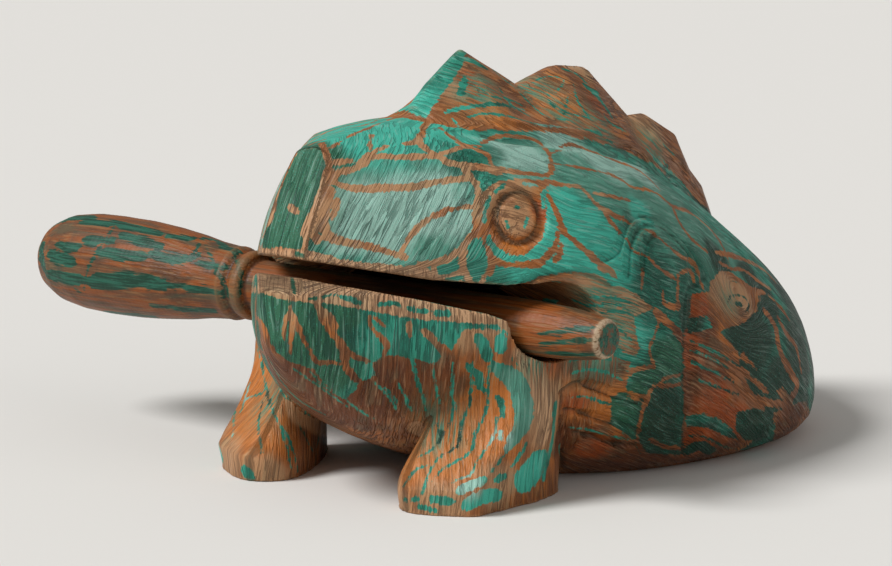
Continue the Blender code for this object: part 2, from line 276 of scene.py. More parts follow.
def stroke_places(skin, strokes, mirror):
    """All strokes as rows of (place, half width), with tapered ends."""
    found = []
    for half, points in strokes:
        row = curve_through(points)
        for i, (u, v) in enumerate(row):
            place = cast(skin, u, v)
            if place is not None:
                taper = 0.55 + 0.45 * math.sin(math.pi * (i + 1) / (len(row) + 1)) ** 0.5
                found.append((place, half * taper))
    for place, half in list(found) if mirror else ():
        if place[0] < 1.0:
            continue
        twin = place * (-1.0, 1.0, 1.0)
        near, normal, _, _ = skin.find_nearest(Vector(twin) * MM)
        if normal.dot(towards_camera) < FULL_TURN_AWAY:
            found.append((np.array(near) / MM, half))
    return found


def edge_distance(places, found):
    """The distance from each point to the edge of the nearest stroke, negative inside it."""
    tree = kdtree.KDTree(len(found))
    halves = []
    for i, (place, half) in enumerate(found):
        tree.insert(place, i)
        halves.append(half)
    tree.balance()
    result = np.empty(len(places))
    for i, place in enumerate(places):
        result[i] = min(distance - halves[j] for _, j, distance in tree.find_n(place, 3))
    return result


# %% [markdown]
# ## The growth rings
#
# The block was cut so that its growth rings show as long lines. On the flank they run in wide
# arcs, steeper towards the back, and swirl round a knot on the rump. On the
# head, the jaw and the legs the cut is steep and the lines rise almost straight up, and on the
# front of the snout they run down its face. Each point keeps its place across and along the rings.

# %% Places across and along the rings
RING_CENTRE = (-47.0, -102.0)
KNOT_PIXEL = (738, 303)
KNOT_SIZE = 5.0
KNOT_PULL = 9.0
HEAD_SLOPE = 60.0
JAW_SLOPE = 86.0

frog_tree = skin_tree(frog)
places, normals = points_of(frog)
x, y, z = places.T
knot = cast(frog_tree, *KNOT_PIXEL)
mirrored_places = places * (-1.0, 1.0, 1.0)
to_knot = np.minimum(np.linalg.norm(places - knot, axis=1), np.linalg.norm(mirrored_places - knot, axis=1))

across = np.hypot(y - RING_CENTRE[0], z - RING_CENTRE[1]) + 0.35 * np.abs(x)
across += KNOT_PULL * np.exp(-0.5 * (to_knot / KNOT_SIZE) ** 2) + 1.4 * wavering(places, 13.0, 1)
along = across * np.arctan2(z - RING_CENTRE[1], y - RING_CENTRE[0])
keep_field(frog, "ring_place", np.stack((across, along, x), axis=1))

slope = np.radians(HEAD_SLOPE + (JAW_SLOPE - HEAD_SLOPE) * ramp(44.0 - z, 0.0, 6.0))
inner_leg = ramp(-normals[:, 0] * np.sign(x), 0.0, 0.4) * ramp(30.0 - z, 0.0, 6.0)
side_way = (np.abs(x) * (1.0 - 2.0 * inner_leg) + y) * math.sqrt(0.5)
head_across = np.cos(slope) * z - np.sin(slope) * side_way + 0.8 * wavering(places, 11.0, 2)
head_along = np.sin(slope) * z + np.cos(slope) * side_way
snout_front = ramp(-normals[:, 1] - 0.6 * np.abs(normals[:, 0]), 0.35, 0.55) * ramp(z, 38.0, 42.0)
head_across += snout_front * (x - head_across)
head_along += snout_front * (z - head_along)
keep_field(frog, "head_place", np.stack((head_across, head_along, np.abs(x) - y), axis=1))
head_side = np.maximum(ramp(-y, 21.0, 28.0), ramp(30.0 - z, 0.0, 5.0) * ramp(-y, 7.5, 9.5))
keep_field(frog, "head_side", head_side)

# %% [markdown]
# ## The carver's cuts
#
# The blade left shallow waves, and the harder late wood of each ring stands up a little because
# the early wood between was worn down. The ring of the eye, the arches of the folded thigh and
# the toes are cut deeper with the corner of the knife.

# %% Cuts, as (half width, depth, pixels)
EYE_CENTRE = (518, 217)
EYE_HALF = (21.5, 25.5)
CUTS = {
    "thigh outer": (0.4, 0.35, ((606, 260), (619, 252), (625, 235), (629, 223), (637, 217), (649, 216), (660, 221),
                                 (676, 232), (690, 248), (702, 266))),
    "thigh middle": (0.35, 0.35, ((629, 276), (631, 249), (635, 235), (641, 226), (651, 224), (664, 228), (676, 239),
                                 (690, 255))),
    "thigh inner": (0.35, 0.3, ((644, 270), (647, 247), (651, 238), (657, 234))),
    "toe upper": (0.6, 0.9, ((562, 393), (578, 384), (596, 390), (614, 397), (639, 403))),
    "toe middle": (0.55, 0.8, ((565, 411), (580, 413), (596, 420), (612, 425))),
    "toe lower": (0.55, 0.7, ((574, 434), (590, 437), (610, 444), (636, 447))),
    "haunch": (0.6, 0.35, ((707, 276), (697, 284), (688, 292), (685, 330), (684, 400), (684, 455))),
    "knee": (0.5, 0.5, ((563, 396), (561, 420), (561, 470))),
    "scratch one": (0.25, 0.25, ((352, 236), (362, 212), (376, 193))),
    "scratch two": (0.25, 0.25, ((369, 240), (381, 217), (392, 196))),
    "scratch three": (0.25, 0.25, ((398, 236), (416, 214), (431, 196))),
    "scratch four": (0.25, 0.25, ((340, 226), (347, 211), (354, 197))),
    "scratch five": (0.25, 0.3, ((420, 254), (440, 233), (455, 213), (470, 196))),
    "scratch six": (0.25, 0.25, ((446, 258), (462, 240), (474, 224))),
    "throat one": (0.25, 0.3, ((453, 334), (454, 364), (452, 392))),
    "throat two": (0.25, 0.3, ((471, 333), (473, 363), (470, 400))),
    "throat three": (0.25, 0.25, ((411, 340), (416, 377), (423, 397))),
    "head foot": (0.5, 0.35, ((505, 287), (528, 284), (541, 277), (570, 272), (592, 276), (612, 285))),
}
KNIFE_WAVE = 0.2
RING_RELIEF = 0.1


def ellipse(centre, half, steps=25):
    """Pixels round an ellipse."""
    turns = np.linspace(0.0, 2.0 * math.pi, steps)
    return tuple((centre[0] + half[0] * math.cos(t), centre[1] + half[1] * math.sin(t)) for t in turns)


CUTS["eye ring"] = (0.6, 0.5, ellipse(EYE_CENTRE, EYE_HALF))
cut_sink = np.zeros(len(places))
cut_line = np.full(len(places), 9.0)
for name, (half, depth, points) in CUTS.items():
    distance = edge_distance(places, stroke_places(frog_tree, [(0.0, points)], True))
    cut_sink = np.maximum(cut_sink, depth * np.exp(-(distance / half) ** 2))
    cut_line = np.minimum(cut_line, distance - (half if depth < 0.45 else 0.7 * half))
keep_field(frog, "cut_mm", cut_line)

# %% Cutting the skin
ring_waves = wavering(np.stack((across / 1.4, along / 12.0, x / 12.0), axis=1), 1.0, 3)
head_waves = wavering(np.stack((head_across / 1.2, head_along / 9.0, x / 12.0), axis=1), 1.0, 4)
waves = ring_waves * (1.0 - head_side) + head_waves * head_side
on_ground = ramp(0.6 - z, 0.0, 0.4)
sink = RING_RELIEF * (0.5 - 0.5 * waves) + KNIFE_WAVE * (0.5 - 0.5 * wavering(places, 7.0, 5)) + cut_sink
carved = places - normals * (sink * (1.0 - on_ground))[:, None]
frog.data.vertices.foreach_set("co", (carved * MM).ravel())
frog.data.update()
print("the skin was cut in by up to", round(float(sink.max()), 2), "mm")

# %% [markdown]
# ## Where the wood is worn and where shade is painted
#
# Handling rubs the paint off whatever stands proud. Where the wood is enclosed, in the mouth, in the bore
# and along the foot of the crest, its colour is darkened as painted shade. How far a point can look
# straight out before it meets the frog again says how enclosed it is.

# %% Proud and enclosed places
LOOK_START = 0.4
LOOK_FAR = 24.0

rounds = 24
proud = np.einsum("ij,ij->i", carved - neighbour_mean(frog, carved, rounds), normals)
keep_field(frog, "proud_mm", proud)
print("stands proud by up to", round(float(proud.max()), 2), "mm")

carved_tree = skin_tree(frog)
looks = np.full(len(places), LOOK_FAR)
for i, (place, normal) in enumerate(zip(carved, normals)):
    start = Vector(place + normal * LOOK_START) * MM
    distance = carved_tree.ray_cast(start, Vector(normal), LOOK_FAR * MM)[3]
    if distance is not None:
        looks[i] = distance / MM
keep_field(frog, "enclosed", 1.0 - ramp(looks, 2.0, LOOK_FAR))

# %% [markdown]
# ## The painter's strokes
#
# The painter covered the frog with teal and left a net of bare brown veins between the cells. A
# vein has half its width in millimetres and its pixels.

# %% Veins on the head
VEINS = {
    "snout ridge": (0.8, ((322, 142), (325, 150), (329, 163), (325, 177), (322, 190), (312, 212), (302, 232))),
    "snout low": (0.5, ((312, 212), (307, 225), (305, 245), (300, 255))),
    "snout mark": (0.5, ((289, 207), (297, 212))),
    "crown": (0.4, ((331, 147), (348, 136), (367, 128), (380, 122), (396, 117))),
    "crown back": (0.9, ((401, 113), (413, 118), (426, 120), (440, 122), (452, 126))),
    "crown front": (0.3, ((345, 128), (365, 124), (385, 116), (402, 112))),
    "brow": (0.7, ((335, 183), (348, 187), (363, 188), (382, 188), (407, 187), (424, 184), (449, 180), (472, 178))),
    "upper brow": (0.7, ((336, 178), (338, 174), (355, 168), (365, 162), (376, 156), (400, 157), (422, 156),
                         (438, 156))),
    "brow fork": (0.6, ((357, 166), (366, 158), (376, 150), (388, 145))),
    "brow tick": (0.5, ((372, 134), (370, 143), (373, 150))),
    "brow front": (0.55, ((334, 163), (343, 161), (352, 160))),
    "brow front low": (0.7, ((328, 182), (338, 174), (349, 169))),
    "temple": (0.8, ((438, 155), (449, 162), (466, 166), (484, 167), (499, 172))),
    "temple drop": (0.7, ((463, 167), (471, 178))),
    "temple arch": (0.6, ((440, 154), (453, 149), (466, 146), (478, 149), (488, 155), (492, 164))),
    "light cell": (0.5, ((478, 147), (484, 141), (499, 136), (516, 136), (535, 139), (547, 149), (552, 162),
                         (549, 174), (535, 173), (520, 172), (503, 170), (492, 165))),
    "spine foot drop": (0.7, ((428, 118), (422, 132), (419, 141), (430, 151), (438, 156))),
    "spine foot fork": (0.7, ((421, 136), (412, 142), (403, 143))),
    "spine foot cell": (0.5, ((440, 127), (450, 135), (462, 143), (480, 145))),
    "pale cell front": (1.2, ((331, 190), (322, 202), (316, 215), (312, 230), (318, 240))),
    "pale cell front low": (1.0, ((330, 196), (326, 212), (324, 228), (333, 238))),
    "pale cell nick": (0.6, ((337, 199), (334, 212), (331, 219))),
    "pale cell foot": (0.7, ((318, 238), (335, 240), (355, 244), (375, 248), (392, 253), (405, 257))),
    "cheek arch": (0.55, ((400, 253), (410, 237), (420, 226), (432, 217), (450, 209), (474, 206))),
    "eye front": (0.8, ((473, 180), (478, 190), (477, 208), (478, 228))),
    "temple low": (0.7, ((479, 230), (470, 237), (463, 247), (452, 256), (438, 262), (420, 264))),
    "cheek cell": (0.6, ((434, 262), (436, 274), (450, 275), (462, 270), (464, 256))),
    "cheek drop": (0.7, ((465, 252), (463, 268), (470, 282))),
    "cheek back": (0.6, ((484, 237), (488, 250), (492, 266), (481, 284))),
    "under the eye": (0.55, ((490, 258), (505, 264), (520, 265), (540, 263), (549, 254), (556, 245), (558, 233))),
    "under the eye back": (0.5, ((562, 245), (560, 255), (555, 261))),
    "behind the eye": (0.5, ((548, 191), (551, 200), (557, 211), (561, 222), (566, 231))),
    "eye corner": (0.6, ((543, 182), (550, 181), (560, 184))),
}

# %% Veins on the flank and the rump
VEINS |= {
    "flank top": (0.5, ((552, 162), (572, 165), (600, 171), (618, 177), (632, 186), (648, 189), (660, 195),
                        (674, 206), (689, 211), (706, 224), (717, 236), (726, 252), (731, 267))),
    "back edge": (0.4, ((540, 145), (552, 152), (570, 144), (597, 153), (618, 161), (640, 170), (653, 181),
                        (662, 192))),
    "flank middle": (0.55, ((551, 182), (568, 185), (583, 189), (596, 203), (612, 213), (631, 222))),
    "flank fork": (0.45, ((603, 209), (612, 222), (621, 232))),
    "flank tick": (0.45, ((594, 192), (612, 196), (630, 200))),
    "flank low": (0.65, ((560, 228), (576, 242), (590, 254), (606, 267), (617, 277))),
    "flank spot": (0.5, ((600, 266), (606, 272))),
    "thigh front": (0.4, ((627, 238), (632, 247))),
    "thigh dash": (0.4, ((636, 252), (645, 255))),
    "thigh low": (0.4, ((649, 258), (660, 268), (676, 279))),
    "thigh": (0.4, ((642, 228), (655, 233), (667, 244), (681, 256), (694, 263), (701, 276), (704, 290))),
    "thigh loop": (0.4, ((678, 276), (685, 271), (692, 272), (694, 280))),
    "thigh fall": (0.5, ((679, 276), (678, 297), (679, 306), (665, 304), (664, 291))),
    "thigh inner fall": (0.35, ((644, 268), (642, 290))),
    "haunch": (0.4, ((674, 208), (680, 222), (692, 238), (708, 251))),
    "rump top": (0.7, ((717, 252), (735, 256), (753, 263), (766, 271), (776, 282))),
    "rump top low": (0.6, ((720, 262), (732, 268), (745, 270), (758, 280), (770, 288))),
    "knot lid": (0.8, ((712, 290), (716, 280), (727, 275), (740, 280), (753, 290), (765, 292))),
    "rump fall": (1.0, ((765, 311), (771, 318), (777, 330), (781, 351), (790, 369), (798, 386), (789, 403))),
    "rump fall back": (0.7, ((779, 318), (787, 333), (797, 347), (802, 372))),
    "rump loop": (0.9, ((744, 356), (762, 369), (774, 383), (785, 395), (790, 403), (775, 404), (762, 401))),
    "rump mark": (0.6, ((770, 296), (780, 306), (790, 320))),
    "rump band": (0.6, ((735, 366), (752, 377), (768, 392))),
    "rump band low": (0.5, ((741, 390), (757, 397), (772, 404))),
    "cheek back edge": (0.9, ((656, 311), (670, 324), (683, 338), (687, 350))),
    "cheek one": (0.5, ((660, 322), (654, 338), (650, 350), (655, 366))),
    "cheek two": (0.45, ((684, 384), (672, 386), (655, 386))),
    "cheek three": (0.5, ((655, 384), (648, 398), (642, 417), (638, 440), (644, 455))),
    "cheek four": (0.45, ((626, 392), (636, 396), (647, 398))),
    "cheek five": (0.5, ((625, 378), (634, 371), (645, 368), (655, 367))),
    "cheek six": (0.35, ((658, 384), (668, 378), (683, 375))),
    "cheek low": (0.5, ((650, 440), (664, 447), (684, 450))),
}

# %% Veins on the lower jaw
VEINS |= {
    "jaw edge": (0.6, ((255, 317), (264, 329), (268, 345))),
    "jaw one": (0.45, ((288, 304), (289, 311), (285, 320), (283, 339))),
    "jaw two": (0.5, ((289, 311), (291, 330), (290, 354))),
    "jaw three": (0.45, ((289, 311), (295, 319), (302, 337), (311, 354), (319, 363), (332, 363), (345, 365))),
    "jaw four": (0.6, ((315, 303), (321, 315), (328, 328), (341, 344), (354, 356), (370, 363))),
    "jaw four top": (0.5, ((322, 310), (330, 318), (336, 328))),
    "jaw four foot": (0.8, ((341, 344), (345, 356), (345, 365), (350, 373), (357, 381))),
    "jaw five": (0.5, ((369, 317), (372, 329), (384, 341), (387, 350), (380, 360))),
    "jaw five tick": (0.25, ((374, 317), (384, 326))),
    "jaw six": (0.5, ((409, 324), (410, 335))),
    "jaw seven": (0.6, ((424, 331), (437, 344), (445, 352))),
    "jaw seven foot": (0.8, ((437, 345), (446, 353), (452, 362))),
    "jaw eight": (0.9, ((478, 328), (468, 334), (460, 347), (452, 360))),
    "leg top": (0.5, ((495, 356), (501, 359), (507, 364))),
    "leg front": (0.7, ((491, 330), (492, 345), (490, 352))),
}

# %% Thin teal streaks on bare wood
STREAKS = {
    "throat one": ((374, 383), (386, 394), (398, 411)),
    "throat two": ((348, 403), (363, 414), (375, 420)),
    "throat three": ((267, 357), (282, 383), (300, 402), (328, 417)),
    "throat four": ((291, 368), (319, 387), (348, 408)),
    "leg one": ((411, 351), (416, 377), (423, 397), (425, 411)),
    "leg two": ((434, 364), (434, 376), (436, 389), (440, 404)),
    "leg three": ((453, 364), (452, 393), (454, 406), (450, 422), (440, 439), (428, 452), (418, 456)),
    "leg four": ((473, 363), (470, 401), (462, 422), (457, 445), (442, 455), (433, 465), (427, 477), (422, 494)),
    "leg five": ((489, 367), (488, 383), (486, 410), (476, 432), (470, 451), (456, 461), (441, 470), (433, 481)),
    "leg six": ((497, 417), (495, 432), (486, 448), (476, 462), (470, 474), (458, 479), (450, 484)),
    "leg seven": ((402, 487), (415, 470), (428, 465)),
    "leg eight": ((436, 422), (441, 435)),
    "leg nine": ((492, 472), (500, 462), (507, 452)),
    "far leg one": ((262, 354), (265, 391), (275, 416), (290, 440), (299, 472)),
    "far leg side": ((256, 338), (262, 372), (272, 408), (284, 436), (292, 468)),
    "far leg front": ((250, 360), (236, 402), (232, 436)),
    "far leg middle": ((262, 400), (258, 425), (262, 452)),
    "far leg two": ((268, 372), (290, 405), (304, 432), (314, 452)),
    "far leg three": ((249, 383), (244, 400), (240, 412)),
    "far leg four": ((242, 400), (262, 392)),
    "far leg five": ((297, 404), (310, 417), (320, 430), (317, 447)),
    "first spine edge": ((491, 67), (503, 78), (514, 86), (524, 96), (533, 105), (547, 115), (568, 120)),
    "first spine arch": ((478, 86), (491, 95), (510, 99), (526, 107)),
    "first spine low": ((468, 117), (484, 113), (510, 116), (539, 124)),
    "first spine front": ((453, 118), (459, 126), (466, 132)),
    "second spine front": ((528, 84), (547, 76), (564, 80), (556, 92)),
    "second spine middle": ((568, 97), (564, 115)),
    "second spine low": ((540, 125), (570, 127), (597, 132), (615, 145), (624, 152)),
    "second spine back": ((603, 110), (609, 121), (626, 131)),
    "second spine top": ((562, 68), (575, 72), (590, 85)),
    "third spine top": ((660, 140), (668, 148), (675, 155)),
    "haunch one": ((690, 340), (715, 352), (740, 366)),
    "haunch two": ((692, 362), (712, 371), (735, 382)),
    "haunch three": ((690, 350), (708, 356), (728, 368)),
    "haunch four": ((700, 380), (720, 388), (740, 395)),
    "cheek one": ((590, 298), (612, 297), (640, 306)),
    "cheek two": ((600, 312), (625, 312), (640, 318)),
    "cheek three": ((575, 345), (600, 345), (625, 352)),
    "cheek four": ((570, 362), (590, 357), (612, 360)),
    "knot inner": ((728, 304), (731, 297), (740, 295), (748, 300), (749, 309), (742, 315)),
    "haunch foot": ((690, 436), (706, 438), (722, 446), (736, 450)),
    "toe edge upper": ((566, 399), (584, 397), (606, 404), (630, 411)),
    "toe edge lower": ((570, 428), (588, 430), (606, 436), (628, 440)),
    "cheek five": ((572, 300), (590, 306), (610, 304), (628, 309)),
    "cheek six": ((606, 322), (620, 330), (632, 340)),
    "cheek seven": ((570, 374), (586, 370), (604, 372), (622, 380)),
    "throat five": ((398, 383), (405, 397), (411, 411)),
    "throat six": ((385, 388), (392, 396), (398, 404)),
    "throat seven": ((310, 372), (326, 388), (346, 400)),
    "back spine one": ((655, 150), (668, 166), (680, 184)),
    "second spine fold": ((548, 92), (552, 104), (566, 112), (590, 118)),
    "second spine crack": ((574, 84), (578, 100), (590, 118)),
    "first spine fold": ((500, 88), (512, 104), (530, 116)),
}

# %% Teal dabs on bare wood
DABS = {
    "lip front": (0.6, ((296, 254), (302, 256))),
    "lip row": (0.5, ((318, 250), (332, 252), (346, 254), (360, 256), (382, 259), (404, 264))),
    "lip row front": (0.8, ((340, 252), (362, 256))),
    "lip cell": (0.9, ((441, 271), (455, 267))),
    "lip drop": (0.5, ((447, 280), (463, 278))),
    "lip corner": (0.6, ((488, 279), (496, 283), (504, 285))),
    "lower lip front": (1.3, ((254, 276), (256, 286))),
    "lower lip tick": (0.5, ((291, 276), (294, 292))),
    "lower lip line": (0.25, ((306, 300), (320, 298), (334, 295), (342, 298))),
    "lower lip first": (0.6, ((342, 297), (350, 299), (360, 303))),
    "lower lip second": (0.4, ((378, 305), (393, 303), (400, 306))),
    "lower lip third": (0.5, ((409, 309), (420, 311), (430, 311))),
    "lower lip fourth": (0.7, ((437, 313), (448, 314))),
    "under the lip": (0.5, ((432, 325), (455, 326), (480, 326), (498, 327))),
    "jaw cell": (1.1, ((478, 337), (483, 345), (489, 359))),
    "jaw cell back": (1.15, ((501, 338), (501, 350))),
    "jaw spot": (0.6, ((481, 374), (481, 388), (485, 391))),
    "eye top": (0.45, ((496, 192), (500, 188), (505, 184))),
    "eye top back": (0.45, ((524, 183), (530, 184), (537, 185))),
    "eye left": (0.5, ((490, 197), (486, 208), (484, 222))),
    "eye right": (0.3, ((542, 192), (544, 207))),
    "eye low": (0.5, ((488, 236), (494, 249))),
    "eye spot": (0.35, ((515, 208), (519, 207))),
    "eye spot back": (0.3, ((528, 218), (525, 226))),
    "eye spot low": (0.35, ((507, 221), (508, 227))),
    "leg island": (0.6, ((497, 397), (501, 404), (503, 415))),
    "leg island low": (0.5, ((500, 432), (500, 438))),
    "leg stripe": (0.45, ((527, 444), (522, 453), (512, 467))),
    "leg patch": (0.8, ((497, 480), (505, 477))),
    "toe pale": (1.05, ((459, 491), (469, 485), (484, 480))),
    "toe patch": (1.4, ((466, 506), (477, 500), (490, 496), (500, 496))),
    "toe front": (0.85, ((431, 499), (442, 501), (453, 502))),
    "toe under": (0.5, ((419, 507), (428, 509), (436, 511))),
    "toe tip": (0.45, ((404, 500), (406, 501))),
    "toe tip back": (0.45, ((413, 500), (417, 499))),
    "far toe": (1.2, ((244, 471), (250, 476))),
    "far toe low": (0.6, ((262, 483), (285, 484))),
    "spine apex": (0.7, ((463, 57), (476, 62), (487, 68))),
    "spine front": (0.75, ((465, 79), (461, 93))),
    "second spine patch": (0.7, ((588, 88), (598, 92))),
    "second spine spot": (0.35, ((584, 136), (590, 140))),
    "third spine band": (0.55, ((647, 148), (662, 165), (678, 180), (692, 195))),
    "cheek link": (0.7, ((612, 352), (630, 358), (648, 362))),
    "leg rear": (0.7, ((556, 404), (554, 430), (550, 455), (544, 480))),
    "leg top": (0.8, ((468, 366), (478, 378), (480, 388))),
    "crest foot": (0.5, ((445, 112), (470, 106), (500, 104), (525, 110))),
    "second spine side": (0.8, ((585, 84), (600, 98), (612, 116))),
    "third spine side": (0.8, ((668, 172), (682, 188), (694, 204))),
    "knot spot": (0.6, ((737, 304), (741, 304))),
    "haunch low": (1.4, ((690, 452), (700, 446), (712, 452))),
}

# %% [markdown]
# ## Bare and painted areas
#
# The spines, the lips, the ring round the eye, the throat, the fronts of the legs, the toes and
# the haunch behind its crease are bare wood, with some painted cells standing in them. Each area
# is an outline in the photograph. Here it is the other way round: each point of the skin is
# looked up in the photograph's frame.

# %% Outlines of bare wood
BARE = {
    "crest": ((431, 107), (442, 94), (453, 80), (459, 69), (470, 50), (510, 66), (560, 55), (600, 60), (645, 105),
              (700, 150), (712, 212), (698, 200), (680, 184), (655, 166), (630, 152), (600, 142), (560, 133),
              (520, 130), (480, 130), (450, 126), (428, 118)),
    "upper lip": ((258, 247), (285, 248), (306, 250), (341, 259), (375, 264), (404, 265), (423, 265), (436, 275),
                  (462, 281), (481, 285), (500, 288), (528, 283), (540, 277), (570, 272), (594, 272), (612, 283),
                  (616, 296), (540, 300), (440, 296), (350, 280), (255, 262)),
    "lower lip": ((252, 268), (262, 270), (302, 273), (345, 284), (404, 295), (440, 304), (486, 313), (524, 327),
                  (540, 350), (566, 372), (566, 400), (556, 420), (553, 450), (536, 449), (535, 404), (531, 388),
                  (524, 376), (512, 360), (508, 334), (505, 330), (472, 324), (430, 321), (393, 315), (348, 307),
                  (312, 302), (282, 300), (252, 291)),
    "cheek": ((586, 290), (600, 286), (622, 286), (640, 297), (652, 308), (634, 318), (636, 336), (640, 350),
              (627, 372), (627, 392), (612, 397), (610, 425), (634, 440), (640, 455), (686, 456), (686, 470),
              (562, 480), (556, 420), (566, 380), (545, 350), (540, 330), (560, 300)),
    "haunch": ((685, 334), (690, 318), (693, 293), (709, 292), (712, 286), (727, 277), (755, 289), (760, 298),
               (757, 311), (745, 322), (733, 327), (722, 332), (738, 352), (741, 372), (750, 386), (764, 402),
               (766, 412), (753, 441), (728, 460), (684, 472)),
    "rump": ((775, 413), (807, 400), (812, 420), (802, 442), (774, 448)),
    "throat": ((256, 318), (265, 332), (270, 347), (287, 361), (304, 366), (316, 370), (323, 382), (334, 392),
               (347, 400), (355, 391), (358, 380), (366, 381), (375, 376), (373, 364), (382, 360), (388, 355),
               (398, 356), (415, 359), (430, 365), (439, 362), (442, 352), (450, 354), (460, 345), (468, 334),
               (490, 329), (508, 334), (512, 360), (560, 400), (566, 500), (470, 530), (385, 530), (380, 450),
               (300, 440), (240, 400)),
    "far leg": ((215, 340), (258, 318), (290, 380), (330, 400), (345, 440), (300, 500), (215, 500)),
    "eye": ((475, 226), (477, 199), (485, 190), (495, 182), (519, 178), (543, 180), (551, 184), (541, 191),
            (546, 208), (547, 221), (543, 238), (528, 254), (511, 254), (495, 245), (489, 234), (478, 240)),
}

# %% Outlines of painted cells in bare wood
PAINTED = {
    "first spine": ((407, 105), (415, 102), (434, 82), (451, 65), (461, 51), (466, 56), (459, 69), (453, 80),
                    (442, 94), (432, 106), (428, 115), (407, 109)),
    "leg band": ((489, 359), (500, 364), (512, 366), (524, 376), (531, 388), (535, 404), (534, 419), (529, 432),
                 (521, 440), (508, 454), (504, 452), (507, 438), (514, 425), (514, 411), (509, 393), (503, 383),
                 (493, 375)),
    "leg cell": ((514, 476), (524, 464), (535, 451), (547, 449), (548, 457), (542, 477), (530, 491), (522, 494),
                 (516, 489)),
    "haunch back": ((742, 335), (760, 345), (775, 362), (785, 385), (776, 392), (760, 372), (744, 352)),
    "haunch gap": ((688, 318), (708, 316), (713, 327), (702, 332), (688, 333)),
    "haunch band": ((687, 416), (704, 414), (720, 420), (734, 430), (738, 440), (724, 436), (708, 428), (687, 427)),
    "rump strip": ((752, 366), (764, 374), (776, 388), (782, 398), (774, 396), (762, 384), (750, 374)),
    "haunch cell": ((737, 412), (757, 408), (772, 412), (773, 430), (765, 443), (745, 440), (736, 430)),
}


# %% Looking the skin up in the photograph's frame
def photo_pixels(places):
    """Where each place lies in the photograph."""
    turn = np.array(camera.rotation_quaternion.to_matrix())
    seen = (places * MM - np.array(CAMERA_PLACE)) @ turn
    scale = LENS * PHOTO_WIDTH / SENSOR / -seen[:, 2]
    return np.stack((PHOTO_WIDTH / 2.0 + seen[:, 0] * scale, PHOTO_HEIGHT / 2.0 - seen[:, 1] * scale), axis=1)


def outline_distance(pixels, outline):
    """The distance in pixels from an outline, positive inside it."""
    inside = np.zeros(len(pixels), bool)
    nearest = np.full(len(pixels), 1e9)
    px, py = pixels.T
    for (ax, ay), (bx, by) in zip(outline, outline[1:] + outline[:1]):
        crosses = (ay > py) != (by > py)
        slope = (bx - ax) / (by - ay) if by != ay else 0.0
        inside ^= crosses & (px < ax + slope * (py - ay))
        t = np.clip(((px - ax) * (bx - ax) + (py - ay) * (by - ay)) / ((bx - ax) ** 2 + (by - ay) ** 2), 0.0, 1.0)
        nearest = np.minimum(nearest, np.hypot(px - ax - t * (bx - ax), py - ay - t * (by - ay)))
    return np.where(inside, nearest, -nearest)


PIXEL = CAMERA_PLACE.length / MM * SENSOR / LENS / PHOTO_WIDTH
view = np.array(towards_camera)
facing = normals @ view
mirrored_facing = (normals * (-1.0, 1.0, 1.0)) @ view
use_own = (facing > FULL_TURN_AWAY) | (facing >= mirrored_facing)
pixels = photo_pixels(np.where(use_own[:, None], places, mirrored_places))
shown = ramp(np.where(use_own, facing, mirrored_facing), 0.0, 0.12)
bare = np.max([outline_distance(pixels, outline) for outline in BARE.values()], axis=0) * PIXEL
painted_cells = np.max([outline_distance(pixels, outline) for outline in PAINTED.values()], axis=0) * PIXEL
print("one pixel is", round(PIXEL, 3), "mm at the frog")

# %% [markdown]
# ## The net on the sides that the photograph doesn't show
#
# There the cells are the regions nearest to scattered seeds, drawn out along the body.

# %% A net of cells
CELL_SPACING = 12.0
CELL_STRETCH = np.array((1.0, 0.65, 1.0))
NET_HALF = 0.7


def cell_distance(places):
    """Half the difference between the distances to the two nearest seeds."""
    sway = np.stack([wavering(places, 13.0, seed) for seed in (6, 7, 8)], axis=1)
    spread = (places + 3.0 * sway) * CELL_STRETCH
    order = np.random.default_rng(5).permutation(len(spread))
    seeds = []
    for i in order[:6000]:
        if all(np.sum((spread[i] - q) ** 2) > CELL_SPACING ** 2 for q in seeds):
            seeds.append(spread[i])
    tree = kdtree.KDTree(len(seeds))
    for i, seed in enumerate(seeds):
        tree.insert(seed, i)
    tree.balance()
    print("the net has", len(seeds), "cells")
    result = np.empty(len(spread))
    for i, place in enumerate(spread):
        first, second = tree.find_n(place, 2)
        result[i] = 0.5 * (second[2] - first[2])
    return result


crest_height = 63.0 - 0.0105 * np.clip(y - 4.0, 0.0, None) ** 2
crest = ramp(z - crest_height, -1.0, 2.5) * ramp(y, -22.0, -16.0)
crest *= ramp(14.0 - np.abs(x), 0.0, 4.0) * ramp(60.0 - y, 0.0, 8.0)
throat = ramp(-normals[:, 2], 0.05, 0.55) * ramp(34.0 - z, 0.0, 10.0)
low = 0.7 * ramp(14.0 - z, 0.0, 12.0) * ramp(y, -12.0, -4.0)
net = np.minimum(cell_distance(places) - NET_HALF, 1.5 - 4.0 * np.clip(crest + throat + low, 0.0, 1.0))

STREAK_HALF = 0.3
veins = edge_distance(places, stroke_places(frog_tree, VEINS.values(), True))
teal_strokes = [(STREAK_HALF, points) for points in STREAKS.values()] + list(DABS.values())
teal = edge_distance(places, stroke_places(frog_tree, teal_strokes, True))
veins += 0.3 * wavering(places, 3.0, 9)
bare += 0.35 * wavering(places, 3.0, 10)
strokes = np.maximum(np.minimum(veins, -bare), np.maximum(-teal, painted_cells))
keep_field(frog, "paint_mm", strokes * shown + net * (1.0 - shown))
